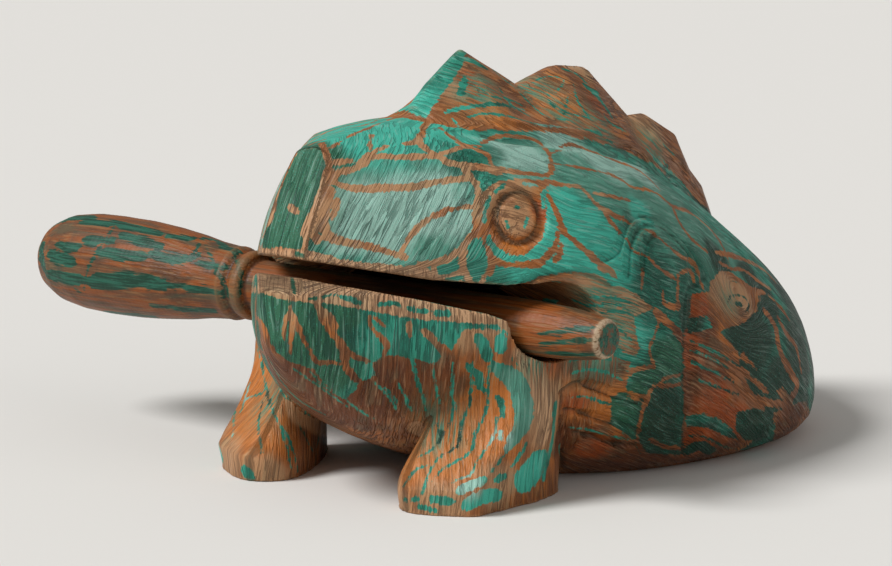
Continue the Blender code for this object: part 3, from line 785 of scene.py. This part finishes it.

# %% [markdown]
# ## Tones of the paint and of the wood
#
# The paint is bright on the crown, worn thin and pale on the side of the head, and deep on the rump,
# where the olive tone is partly the paint's own and partly painted shade that grows towards the lower
# back. Moss is grey-green paint, and on the front of the snout it is also painted shade. The wood is
# orange on the throat and the legs; the dark tone on the throat, the legs, the toes, the haunch and the
# low rump is painted shade. Tan is pale wood where hands rub it, and on the side of the head it is a
# painted highlight. Each tone is a few soft patches: a pixel and a radius in millimetres.

# %% Soft patches of tone
TONES = {
    "bright": ((380, 128, 15), (430, 116, 9), (345, 140, 9), (470, 140, 6), (548, 236, 6), (525, 258, 5),
               (585, 262, 10), (570, 232, 8), (600, 245, 8), (620, 262, 6), (645, 328, 4),
               (530, 475, 6), (483, 500, 5), (418, 110, 5), (565, 205, 5), (500, 340, 3), (590, 225, 6), (640, 215, 4), (555, 215, 5)),
    "washed": ((598, 298, 5), (622, 308, 5), (620, 335, 6), (600, 350, 6), (535, 365, 3),
               (480, 90, 5), (530, 90, 6), (560, 110, 5), (600, 125, 5), (650, 140, 5), (270, 400, 5), (730, 300, 3)),
    "pale": ((355, 212, 7), (385, 222, 8), (405, 208, 7), (432, 203, 7), (340, 208, 7), (345, 228, 6), (455, 218, 5), (370, 205, 6),
             (600, 156, 8), (565, 147, 7), (640, 172, 6), (515, 152, 7), (470, 486, 3), (500, 440, 3)),
    "muted": ((570, 155, 11), (600, 166, 16), (640, 190, 16), (680, 222, 15), (690, 252, 11), (720, 250, 9),
              (590, 178, 9), (520, 155, 10), (540, 170, 8), (430, 235, 6), (395, 172, 8), (360, 176, 6),
              (430, 168, 6), (514, 384, 4), (524, 404, 4), (520, 428, 4)),
    # Moss is grey-green paint; on the front of the snout it is also painted shade.
    "moss": ((300, 158, 7), (292, 178, 7), (286, 200, 7), (280, 220, 7), (276, 238, 6), (305, 165, 4), (275, 320, 9),
             (300, 340, 9), (265, 300, 7), (330, 372, 6), (315, 355, 7), (345, 320, 3),
             (650, 385, 6), (625, 410, 6), (660, 420, 7), (670, 362, 6), (640, 440, 5)),
    "olive": ((750, 335, 11), (790, 300, 9), (745, 385, 10), (800, 350, 10), (755, 425, 10), (780, 390, 9),
              (795, 420, 9), (690, 450, 9), (660, 440, 7), (665, 410, 7), (690, 320, 5), (765, 300, 7), (820, 380, 9),
              (720, 262, 5), (750, 275, 5), (450, 440, 4)),
    "deep": ((660, 292, 9), (690, 280, 7), (285, 310, 7), (335, 330, 6), (670, 365, 7), (655, 385, 6),
             (625, 410, 6), (700, 270, 6), 
             (490, 150, 4), (466, 160, 4)),
    "orange": ((457, 402, 11), (478, 428, 10), (440, 395, 8), (492, 405, 7), (440, 455, 9), (590, 390, 6), (590, 410, 5),
               (595, 432, 6), (715, 408, 6), (735, 422, 5), (500, 110, 5), (560, 105, 5), (700, 303, 4),
               (300, 395, 6), (541, 214, 3.5), (515, 250, 3.5), (720, 345, 4), (640, 130, 4), (265, 430, 8),
               (610, 405, 6), (585, 450, 5), (540, 362, 4), (640, 175, 5), (345, 415, 6)),
    "ember": ((715, 406, 6), (736, 420, 5), (700, 303, 3.5), (592, 450, 4), (700, 440, 5), (542, 212, 2.5),
              (540, 360, 4), (575, 404, 3), (470, 78, 3), (600, 110, 4), (690, 350, 4)),
    # Painted shade: the dark tone darkens the throat, the legs, the toes, the haunch and the low rump.
    "dark": ((300, 385, 9), (340, 415, 9), (370, 400, 10), (400, 390, 9), (430, 380, 8), (700, 380, 11),
             (715, 440, 11), (600, 460, 9), (640, 460, 9), (575, 440, 7), (700, 330, 7), (325, 448, 6), (690, 350, 9),
             (600, 360, 7), (790, 425, 8), (770, 450, 9), (740, 455, 10), (535, 470, 3), (560, 440, 4)),
    # Tan is pale wood where hands rub the lips, toes and edges; on the side of the head it is a painted highlight.
    "tan": ((300, 285, 7), (350, 295, 6), (420, 308, 7), (480, 318, 7), (545, 425, 6), (548, 400, 4), (500, 484, 5),
            (440, 505, 6), (725, 290, 6), (745, 300, 4), (765, 275, 5), (262, 475, 5), (452, 80, 5), (650, 125, 6),
            (420, 284, 6), (340, 264, 6), (600, 290, 6), (625, 302, 6), (605, 325, 8), (480, 285, 5), (380, 188, 12), (440, 160, 9), (325, 225, 8), (420, 240, 7),
            (480, 190, 6), (500, 180, 5), (516, 218, 4), (455, 258, 6), (590, 195, 6), (575, 66, 5), (700, 215, 5)),
}


def patch_field(name):
    """How much of a tone each point of the frog has."""
    field = np.zeros(len(places))
    for u, v, radius in TONES[name]:
        centre = cast(frog_tree, u, v)
        if centre is not None:
            for side in (places, mirrored_places):
                field = np.maximum(field, np.exp(-(np.linalg.norm(side - centre, axis=1) / radius) ** 2))
    return field


# Painted shade: the olive tone grows towards the lower back of the rump.
painted_rump_shade = 0.75 * ramp(y, 42.0, 60.0) * ramp(56.0 - z, 0.0, 20.0)
for name in TONES:
    keep_field(frog, name, np.maximum(patch_field(name), painted_rump_shade if name == "olive" else 0.0))

# %% [markdown]
# On the lips the grain ends, and the sawn ends of the fibres show as short upright ticks.

# %% The sawn lips
LIPS = {
    "upper lip": (1.6, ((262, 254), (313, 259), (362, 266), (403, 272), (444, 280), (495, 284))),
    "lower lip": (2.2, ((262, 282), (300, 288), (340, 294), (390, 303), (440, 312), (480, 319), (508, 330))),
    "leg": (2.0, ((515, 340), (530, 365), (542, 395), (545, 425), (543, 440))),
}
keep_field(frog, "lip", ramp(-edge_distance(places, stroke_places(frog_tree, LIPS.values(), True)), -0.6, 0.6))

# %% [markdown]
# ## The painted wood
#
# Carved softwood under thin matt paint. The paint lies in streaks along the rings, and the
# ridges are rubbed bare. Wood has an IOR of about 1.5 and no metallic part, and worn matt paint
# on it is rough.

# %% Colours of the paint and of the wood
TEAL_MID = "#2E8C76"
TEAL_BRIGHT = "#3FB09A"
TEAL_DEEP = "#125240"
TEAL_MUTED = "#578A78"
TEAL_PALE = "#94BAAC"
TEAL_MOSS = "#2B5F45"
TEAL_OLIVE = "#1C3222"
TEAL_LINE = "#0E3A2E"
WOOD_BROWN = "#845434"
WOOD_TAN = "#B28862"
WOOD_ORANGE = "#BC6E2C"
WOOD_EMBER = "#984412"
WOOD_PAINTED_SHADE = "#592B0D"
WOOD_LIP = "#D2AA84"
WOOD_LINE = "#44230F"
WOOD_ENCLOSED_SHADE = "#3A2210"


# %% Nodes that the materials share
def attribute(tree, name):
    """A field that was stored on the skin."""
    return add(tree, "ShaderNodeAttribute", attribute_name=name)


def drawn_out(tree, place, along, across, depth, detail):
    """Noise drawn out along the grain, with its sizes in millimetres."""
    scale = (1.0 / across, 1.0 / along, 1.0 / depth)
    stretched = add(tree, "ShaderNodeMapping", {"Vector": place, "Scale": scale})
    return add(tree, "ShaderNodeTexNoise", {"Vector": stretched.outputs[0], "Scale": 1.0, "Detail": detail}).outputs["Fac"]


def even_noise(tree, place, size, detail):
    """Noise that is the same in all directions, with its size in millimetres."""
    made = add(tree, "ShaderNodeTexNoise", {"Vector": place, "Scale": 1.0 / (size * MM), "Detail": detail})
    return made.outputs["Fac"]


def mixed(tree, share, low, high):
    """A colour between two colours."""
    node = add(tree, "ShaderNodeMix", data_type="RGBA")
    for socket, value in ((0, share), (6, low), (7, high)):
        if isinstance(value, bpy.types.NodeSocket):
            tree.links.new(value, node.inputs[socket])
        else:
            node.inputs[socket].default_value = value
    return node.outputs[2]


def between(tree, value, low, high):
    """Map a value to 0 at low and 1 at high, smoothly."""
    node = add(tree, "ShaderNodeMapRange", {"Value": value, "From Min": low, "From Max": high},
               interpolation_type="SMOOTHSTEP")
    return node.outputs["Result"]


def sums(tree, operation, a, b):
    """One step of arithmetic."""
    return add(tree, "ShaderNodeMath", {0: a, 1: b}, operation=operation).outputs[0]


def times(tree, value, amount):
    """A value made weaker or stronger."""
    return sums(tree, "MULTIPLY", value, amount)


def centred(tree, value, amount):
    """Noise moved to lie round zero, with the given strength."""
    return times(tree, sums(tree, "SUBTRACT", value, 0.5), amount)


def toned(tree, colour, name, raggedness, target, strength):
    """Lay a tone over a colour where its patches are, ragged along the grain."""
    share = sums(tree, "ADD", attribute(tree, name).outputs["Fac"], raggedness)
    return mixed(tree, times(tree, between(tree, share, 0.25, 0.75), strength), colour, linear(target))


# %% Grain of the painted wood
painted = bpy.data.materials.new("carved wood under worn matt paint")
painted.use_nodes = True
tree = painted.node_tree
shader = tree.nodes["Principled BSDF"]
ring_place = attribute(tree, "ring_place").outputs["Vector"]
head_place = attribute(tree, "head_place").outputs["Vector"]
head_share = attribute(tree, "head_side").outputs["Fac"]
object_place = add(tree, "ShaderNodeTexCoord").outputs["Object"]


def on_both(flank, head):
    """Grain of the flank and of the head, each as (along, across, depth, detail), mixed where they meet."""
    low = drawn_out(tree, ring_place, *flank)
    high = drawn_out(tree, head_place, *head)
    return add(tree, "ShaderNodeMix", {0: head_share, 2: low, 3: high}, data_type="FLOAT").outputs[0]


fine = on_both((5.0, 0.3, 4.0, 2.0), (8.0, 0.4, 6.0, 2.0))
ring_edge = on_both((11.0, 0.75, 8.0, 2.0), (13.0, 0.95, 9.0, 2.0))
broad = on_both((15.0, 1.2, 8.0, 2.0), (14.0, 1.4, 9.0, 2.0))
blotches = even_noise(tree, object_place, 5.0, 3.0)
ragged = even_noise(tree, object_place, 0.9, 3.0)
speckle = even_noise(tree, object_place, 0.28, 1.0)
ticks = drawn_out(tree, add(tree, "ShaderNodeMapping", {"Vector": object_place, "Scale": (1000.0, 1000.0, 0.0)}).outputs[0],
                  0.32, 0.32, 0.32, 1.0)
tick_marks = times(tree, between(tree, ticks, 0.53, 0.64), attribute(tree, "lip").outputs["Fac"])
even = sums(tree, "MAXIMUM", attribute(tree, "bright").outputs["Fac"], attribute(tree, "muted").outputs["Fac"])
smooth = sums(tree, "MAXIMUM", attribute(tree, "orange").outputs["Fac"], attribute(tree, "washed").outputs["Fac"])
quiet = sums(tree, "SUBTRACT", 1.0, times(tree, sums(tree, "MAXIMUM", even, times(tree, smooth, 0.7)), 0.6))
near_edge = sums(tree, "ABSOLUTE", sums(tree, "SUBTRACT", ring_edge, 0.5), 0.0)
thin_lines = sums(tree, "MULTIPLY", between(tree, near_edge, 0.06, 0.02), between(tree, broad, 0.3, 0.55))
dark_lines = sums(tree, "MAXIMUM", thin_lines, times(tree, between(tree, fine, 0.6, 0.68), 0.5))
dark_lines = sums(tree, "MULTIPLY", dark_lines, quiet)
pale_lines = sums(tree, "MULTIPLY", between(tree, fine, 0.43, 0.36),
                  sums(tree, "SUBTRACT", 1.0, times(tree, attribute(tree, "olive").outputs["Fac"], 0.7)))
tone_rag = sums(tree, "ADD", centred(tree, broad, 0.5), centred(tree, blotches, 0.8))

# %% Paint over wood
edge = sums(tree, "ADD", attribute(tree, "paint_mm").outputs["Fac"], centred(tree, fine, 0.9))
edge = sums(tree, "ADD", edge, centred(tree, ragged, 0.9))
cover = between(tree, edge, -0.12, 0.14)

teal_share = sums(tree, "ADD", times(tree, broad, 0.5), times(tree, blotches, 0.5))
teal_colour = mixed(tree, between(tree, teal_share, 0.34, 0.52), linear(TEAL_DEEP), linear(TEAL_MID))
for name, target, strength in (("muted", TEAL_MUTED, 0.8), ("bright", TEAL_BRIGHT, 0.9), ("pale", TEAL_PALE, 0.9),
                               ("deep", TEAL_DEEP, 0.8), ("moss", TEAL_MOSS, 0.95), ("olive", TEAL_OLIVE, 0.95)):
    teal_colour = toned(tree, teal_colour, name, tone_rag, target, strength)
teal_colour = mixed(tree, times(tree, pale_lines, 0.3), teal_colour, linear(TEAL_PALE))
teal_colour = mixed(tree, times(tree, between(tree, speckle, 0.58, 0.72), 0.3), teal_colour, linear(TEAL_BRIGHT))
teal_colour = mixed(tree, times(tree, dark_lines, 0.7), teal_colour, linear(TEAL_LINE))

wood_colour = mixed(tree, times(tree, between(tree, broad, 0.3, 0.7), 0.7), linear(WOOD_BROWN), linear(WOOD_ORANGE))
for name, target, strength in (("orange", WOOD_ORANGE, 0.9), ("dark", WOOD_PAINTED_SHADE, 0.85), ("tan", WOOD_TAN, 0.85),
                               ("ember", WOOD_EMBER, 0.9)):
    wood_colour = toned(tree, wood_colour, name, tone_rag, target, strength)
wood_colour = mixed(tree, times(tree, attribute(tree, "lip").outputs["Fac"], 0.6), wood_colour, linear(WOOD_LIP))
wood_colour = mixed(tree, times(tree, pale_lines, 0.4), wood_colour, linear(WOOD_TAN))
washed = sums(tree, "MULTIPLY", between(tree, blotches, 0.46, 0.6), between(tree, broad, 0.4, 0.6))
washed_patch = sums(tree, "MULTIPLY", attribute(tree, "washed").outputs["Fac"], between(tree, fine, 0.4, 0.56))
washed = sums(tree, "MAXIMUM", times(tree, washed, 0.12), times(tree, washed_patch, 0.85))
wood_colour = mixed(tree, washed, wood_colour, linear(TEAL_MID))
soft_grain = sums(tree, "SUBTRACT", 0.75, times(tree, smooth, 0.45))
wood_lines = sums(tree, "MAXIMUM", sums(tree, "MULTIPLY", dark_lines, soft_grain), times(tree, tick_marks, 0.6))
wood_colour = mixed(tree, wood_lines, wood_colour, linear(WOOD_LINE))
colour = mixed(tree, cover, wood_colour, teal_colour)

# %% Wear and painted shade
proud_by = attribute(tree, "proud_mm").outputs["Fac"]
rubbed = between(tree, sums(tree, "ADD", proud_by, centred(tree, fine, 0.35)), 0.15, 0.4)
colour = mixed(tree, times(tree, rubbed, 0.45), colour, linear(WOOD_TAN))
# Painted shade: hollows, where the skin lies below its smoothed neighbours, are darkened towards the line colour.
hollow_shade = between(tree, times(tree, proud_by, -1.0), 0.1, 0.45)
colour = mixed(tree, times(tree, hollow_shade, 0.4), colour, linear(WOOD_LINE))
# Painted shade: the knife cuts are darkened towards dark teal.
cut_shade = between(tree, attribute(tree, "cut_mm").outputs["Fac"], 0.05, -0.35)
colour = mixed(tree, times(tree, cut_shade, 0.45), colour, linear(TEAL_LINE))
# Painted shade: enclosed wood is darkened towards a shade brown; deep in the mouth it turns to raw pale wood instead.
enclosed = attribute(tree, "enclosed").outputs["Fac"]
colour = mixed(tree, times(tree, between(tree, enclosed, 0.15, 0.95), 0.35), colour, linear(WOOD_ENCLOSED_SHADE))
colour = mixed(tree, times(tree, between(tree, enclosed, 0.85, 0.95), 0.9), colour, linear(WOOD_TAN))
tree.links.new(colour, shader.inputs["Base Color"])
tree.links.new(sums(tree, "ADD", 0.5, centred(tree, fine, 0.5)), shader.inputs["Roughness"])
shader.inputs["IOR"].default_value = 1.5
shader.inputs["Specular IOR Level"].default_value = 0.3
height = sums(tree, "ADD", times(tree, dark_lines, -0.9), times(tree, fine, -0.6))
height = sums(tree, "ADD", height, times(tree, broad, -0.5))
height = sums(tree, "ADD", height, times(tree, tick_marks, -0.5))
height = sums(tree, "ADD", height, times(tree, speckle, 0.25))
relief = add(tree, "ShaderNodeBump", {"Height": height, "Strength": 0.85, "Distance": 0.4 * MM})
tree.links.new(relief.outputs["Normal"], shader.inputs["Normal"])
frog.data.materials.append(painted)

# %% [markdown]
# ## The stained striker
#
# A turned stick with a brown stain and rows of dark green dabs along it. The dabs are longer
# than they are wide, because the brush was drawn along the stick. The back of the stick has the
# same dabs, turned half round.

# %% Dabs on the striker
STICK_DABS = {
    "top front": (1.2, ((54, 225), (67, 219), (85, 217), (94, 220))),
    "top": (1.2, ((82, 222), (105, 223), (130, 226), (150, 231), (160, 234))),
    "top middle": (0.88, ((167, 236), (180, 237), (192, 239))),
    "top back": (0.75, ((205, 238), (217, 241), (227, 247), (240, 252))),
    "second row front": (0.94, ((57, 244), (67, 246), (78, 246))),
    "second row": (1.1, ((85, 239), (98, 241), (112, 240))),
    "second row back": (1.1, ((122, 235), (140, 240), (160, 247))),
    "third row front": (1.4, ((50, 255), (60, 259), (72, 262))),
    "third row": (1.2, ((97, 252), (120, 255), (145, 256))),
    "third row back": (1, ((150, 252), (165, 257), (180, 260), (198, 255))),
    "third row end": (0.62, ((198, 262), (215, 266), (230, 268))),
    "stripe": (1.6, ((47, 275), (67, 279), (90, 281), (112, 281), (140, 281), (165, 285))),
    "stripe back": (0.69, ((160, 284), (180, 287), (200, 290), (227, 294))),
    "end": (1.2, ((42, 245), (41, 255), (44, 268))),
    "bottom": (1.1, ((57, 298), (90, 310), (155, 317))),
    "bottom back": (0.75, ((150, 305), (180, 309), (215, 311))),
    "spot": (0.5, ((75, 289), (79, 291))),
    "star": (0.28, ((202, 238), (196, 250), (190, 257))),
    "star back": (0.28, ((202, 238), (209, 252), (217, 272), (232, 297))),
    "scratch": (0.25, ((115, 225), (95, 255), (86, 275), (84, 291))),
    "collar": (0.44, ((235, 257), (240, 272), (239, 295))),
    "collar top": (0.5, ((222, 246), (230, 250), (238, 255))),
    "tip upper": (0.5, ((540, 333), (565, 330), (600, 327))),
    "tip middle": (0.44, ((540, 344), (570, 342), (600, 340))),
    "tip lower": (0.62, ((545, 352), (577, 355), (602, 356))),
    "tip under": (0.5, ((560, 364), (585, 366), (600, 364))),
    "end spot": (0.56, ((606, 340), (606, 347))),
    "end spot back": (0.44, ((614, 337), (615, 343))),
}
striker_tree = skin_tree(striker)
stick_places, stick_normals = points_of(striker)
stick_axis = stick_places.mean(axis=0) * (0.0, 1.0, 1.0)
dabs_at = stroke_places(striker_tree, STICK_DABS.values(), False)
half_turn = [((place - stick_axis) * (1.0, -1.0, -1.0) + stick_axis, half) for place, half in dabs_at]
dab_distance = edge_distance(stick_places, dabs_at + half_turn) + 0.4 * wavering(stick_places * (0.4, 1.0, 1.0), 1.6, 12)
keep_field(striker, "dab_mm", dab_distance)
round_place = stick_places - stick_axis
keep_field(striker, "stick_place", round_place)

# %% Tool marks and dents
tool_marks = 0.03 * (0.5 + 0.5 * np.cos(2.0 * math.pi * stick_places[:, 0] / 1.1))
dents = 0.12 * np.clip(wavering(stick_places * (0.5, 1.0, 1.0), 4.0, 13), 0.0, 1.0)
turned = stick_places - stick_normals * (tool_marks + dents)[:, None]
striker.data.vertices.foreach_set("co", (turned * MM).ravel())
striker.data.update()
stick_proud = np.einsum("ij,ij->i", turned - neighbour_mean(striker, turned, 20), stick_normals)
keep_field(striker, "proud_mm", stick_proud)
tip_end = stick_places[:, 0].max()
keep_field(striker, "tip_rim", ramp(stick_places[:, 0], tip_end - 1.5, tip_end - 0.9))
keep_field(striker, "tip_end", ramp(stick_places[:, 0], tip_end - 0.35, tip_end - 0.15))

# %% Stained wood
STAIN_BROWN = "#66432A"
STAIN_ORANGE = "#87481A"
STAIN_DARK = "#3E3426"
STAIN_PALE = "#8A6540"
STAIN_RIM = "#B9A489"
STAIN_GREEN = "#0E3A2A"
STAIN_TEAL = "#225C4A"

stained = bpy.data.materials.new("turned wood under brown stain")
stained.use_nodes = True
tree = stained.node_tree
shader = tree.nodes["Principled BSDF"]
stick_vector = attribute(tree, "stick_place").outputs["Vector"]
swapped = add(tree, "ShaderNodeMapping", {"Vector": stick_vector, "Rotation": (0.0, 0.0, math.pi / 2.0)}).outputs[0]
stick_grain = drawn_out(tree, swapped, 9.0, 0.45, 0.45, 3.0)
stick_bands = drawn_out(tree, swapped, 22.0, 1.6, 1.6, 2.0)
stick_place = add(tree, "ShaderNodeTexCoord").outputs["Object"]
smudges = even_noise(tree, stick_place, 6.0, 3.0)
stain = mixed(tree, between(tree, stick_bands, 0.42, 0.58), linear(STAIN_ORANGE), linear(STAIN_BROWN))
stain = mixed(tree, times(tree, between(tree, smudges, 0.5, 0.68), 0.6), stain, linear(STAIN_DARK))
stain = mixed(tree, times(tree, between(tree, stick_grain, 0.54, 0.66), 0.6), stain, linear(STAIN_PALE))
stain = mixed(tree, times(tree, between(tree, stick_grain, 0.44, 0.34), 0.5), stain, linear(WOOD_LINE))
green = mixed(tree, between(tree, stick_grain, 0.4, 0.6), linear(STAIN_GREEN), linear(STAIN_TEAL))
stain = mixed(tree, times(tree, between(tree, stick_bands, 0.56, 0.68), 0.25), stain, linear(STAIN_TEAL))
dab_edge = sums(tree, "ADD", attribute(tree, "dab_mm").outputs["Fac"], centred(tree, stick_grain, 2.2))
colour = mixed(tree, between(tree, dab_edge, 0.18, -0.12), stain, green)
stick_proud_by = attribute(tree, "proud_mm").outputs["Fac"]
colour = mixed(tree, times(tree, between(tree, stick_proud_by, 0.05, 0.18), 0.6), colour, linear(STAIN_PALE))
rim = sums(tree, "MULTIPLY", attribute(tree, "tip_rim").outputs["Fac"], between(tree, stick_grain, 0.3, 0.55))
colour = mixed(tree, times(tree, rim, 0.8), colour, linear(STAIN_RIM))
end_grain = even_noise(tree, stick_place, 0.9, 3.0)
end_colour = mixed(tree, between(tree, end_grain, 0.4, 0.6), linear(STAIN_TEAL), linear(STAIN_BROWN))
end_colour = mixed(tree, between(tree, dab_edge, 0.18, -0.12), end_colour, green)
colour = mixed(tree, attribute(tree, "tip_end").outputs["Fac"], colour, end_colour)
# Painted shade: hollows of the striker are darkened towards the line colour.
colour = mixed(tree, between(tree, times(tree, stick_proud_by, -1.0), 0.05, 0.2), colour, linear(WOOD_LINE))
tree.links.new(colour, shader.inputs["Base Color"])
tree.links.new(sums(tree, "ADD", 0.47, centred(tree, stick_grain, 0.3)), shader.inputs["Roughness"])
shader.inputs["IOR"].default_value = 1.5
shader.inputs["Specular IOR Level"].default_value = 0.3
relief = add(tree, "ShaderNodeBump", {"Height": times(tree, stick_grain, -1.0), "Strength": 0.7, "Distance": 0.3 * MM})
tree.links.new(relief.outputs["Normal"], shader.inputs["Normal"])
striker.data.materials.append(stained)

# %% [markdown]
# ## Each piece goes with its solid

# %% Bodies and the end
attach(frog, "frog")
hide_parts("frog_body")
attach(striker, "striker")
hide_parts("striker")
